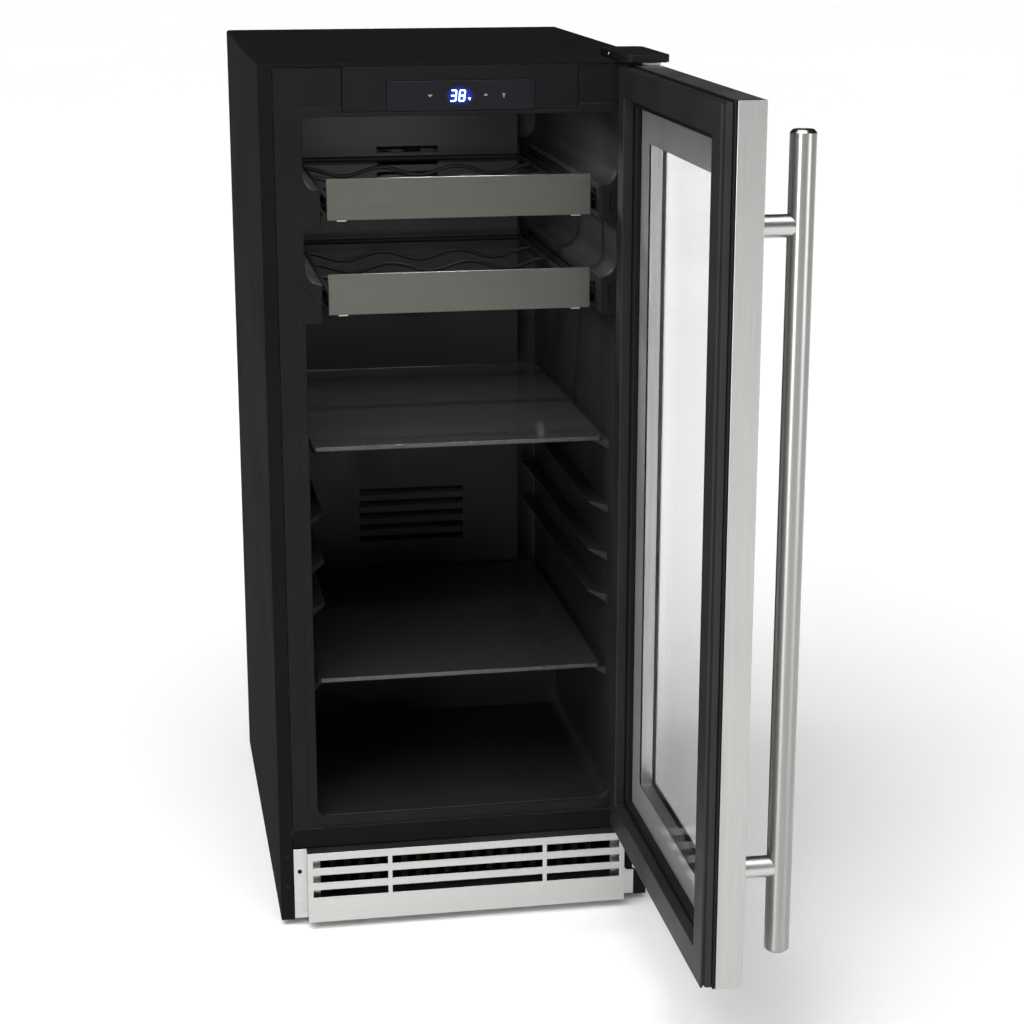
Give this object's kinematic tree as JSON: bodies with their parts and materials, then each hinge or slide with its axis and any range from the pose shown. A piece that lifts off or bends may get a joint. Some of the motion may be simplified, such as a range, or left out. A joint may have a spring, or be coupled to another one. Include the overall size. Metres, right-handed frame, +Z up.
{
  "type": "wine cooler",
  "caption": "Slim undercounter wine cooler with an open glass door, pull-out bottle racks, smoked glass shelves, a touch control strip and a slotted toe grille.",
  "frame": {"origin": "on the floor below the middle of the cabinet, without the door", "axes": "+X to the right as a person faces the door, +Y to the back of the cabinet, +Z up"},
  "size_m": [0.4217, 0.904, 0.8695],
  "materials": {
    "black_steel": "satin",
    "grey_steel": "satin",
    "stainless": "satin",
    "black_plastic": "matte",
    "gloss_black": "gloss",
    "foam": "matte",
    "rubber": "matte",
    "copper": "satin",
    "aluminium": "satin",
    "board": "matte",
    "lamp": "satin",
    "brushed_grey": "satin",
    "clear_glass": "gloss",
    "smoked_glass": "gloss",
    "white_plastic": "satin",
    "compressor_iron": "satin"
  },
  "bodies": {
    "cabinet": {"outer_shell": "black_steel", "rear_panel": "black_steel", "base_pan": "grey_steel", "machine_deck": "grey_steel", "foam_insulation": "foam", "inner_liner": "black_plastic", "front_frame": "black_plastic", "header_cover": "black_plastic", "control_strip": "gloss_black", "display_module": "board", "control_board": "board", "lower_front_rail": "black_steel", "toe_grille": "stainless", "evaporator_cover": "black_plastic", "evaporator_coil": "aluminium", "evaporator_fan_motor": "black_plastic", "temperature_probe": "white_plastic", "led_lamp": "lamp", "compressor": "compressor_iron", "condenser_coil": "copper", "condenser_fan_bracket": "grey_steel", "drain_pan": "black_plastic", "power_inlet": "black_plastic", "top_hinge_bracket": "grey_steel", "top_hinge_pin": "grey_steel", "hinge_cover": "black_plastic", "bottom_hinge_bracket": "black_steel", "bottom_hinge_pin": "grey_steel", "upper_rail_left": "black_steel", "upper_rail_right": "black_steel", "lower_rail_left": "black_steel", "lower_rail_right": "black_steel"},
    "door": {"door_outer_frame": "stainless", "door_insulation": "foam", "outer_glass": "clear_glass", "glass_spacer": "aluminium", "inner_glass": "clear_glass", "door_inner_frame": "black_plastic", "door_gasket": "rubber", "handle_bar": "stainless", "lower_handle_post": "stainless", "upper_handle_post": "stainless", "top_hinge_bush": "white_plastic", "bottom_hinge_bush": "white_plastic"},
    "upper_rack": {"upper_rack_fascia": "brushed_grey", "upper_rack_frame": "black_plastic", "upper_runner_left": "black_steel", "upper_runner_right": "black_steel"},
    "upper_shelf": {"upper_glass_shelf": "smoked_glass"},
    "lower_rack": {"lower_rack_fascia": "brushed_grey", "lower_rack_frame": "black_plastic", "lower_runner_left": "black_steel", "lower_runner_right": "black_steel"},
    "lower_shelf": {"lower_glass_shelf": "smoked_glass"},
    "evaporator_fan": {"evaporator_fan_blade": "black_plastic"},
    "condenser_fan": {"condenser_fan_blade": "black_plastic"},
    "foot_front_left": {"foot_front_left": "rubber"},
    "foot_front_right": {"foot_front_right": "rubber"},
    "foot_rear_left": {"foot_rear_left": "rubber"},
    "foot_rear_right": {"foot_rear_right": "rubber"}
  },
  "joints": [
    {"name": "door_hinge", "type": "hinge", "parent": "cabinet", "child": "door", "pos_m": [0.17435, -0.28665, 0.4], "axis": [0, 0, 1], "range_deg": [-90, 25]},
    {"name": "upper_rack_slide", "type": "slide", "parent": "cabinet", "child": "upper_rack", "axis": [0, -1, 0], "range_m": [0, 0.26]},
    {"name": "lower_rack_slide", "type": "slide", "parent": "cabinet", "child": "lower_rack", "axis": [0, -1, 0], "range_m": [0, 0.26]},
    {"name": "upper_shelf_slide", "type": "slide", "parent": "cabinet", "child": "upper_shelf", "axis": [0, -1, 0], "range_m": [0, 0.25]},
    {"name": "lower_shelf_slide", "type": "slide", "parent": "cabinet", "child": "lower_shelf", "axis": [0, -1, 0], "range_m": [0, 0.25]},
    {"name": "evaporator_fan_spin", "type": "hinge", "parent": "cabinet", "child": "evaporator_fan", "pos_m": [0, 0.155, 0.71], "axis": [0, 1, 0], "continuous": true},
    {"name": "condenser_fan_spin", "type": "hinge", "parent": "cabinet", "child": "condenser_fan", "pos_m": [0.07, 0.06, 0.086], "axis": [0, 1, 0], "continuous": true},
    {"name": "foot_front_left_screw", "type": "slide", "parent": "cabinet", "child": "foot_front_left", "axis": [0, 0, -1], "range_m": [0, 0.022]},
    {"name": "foot_front_right_screw", "type": "slide", "parent": "cabinet", "child": "foot_front_right", "axis": [0, 0, -1], "range_m": [0, 0.022]},
    {"name": "foot_rear_left_screw", "type": "slide", "parent": "cabinet", "child": "foot_rear_left", "axis": [0, 0, -1], "range_m": [0, 0.022]},
    {"name": "foot_rear_right_screw", "type": "slide", "parent": "cabinet", "child": "foot_rear_right", "axis": [0, 0, -1], "range_m": [0, 0.022]}
  ]
}
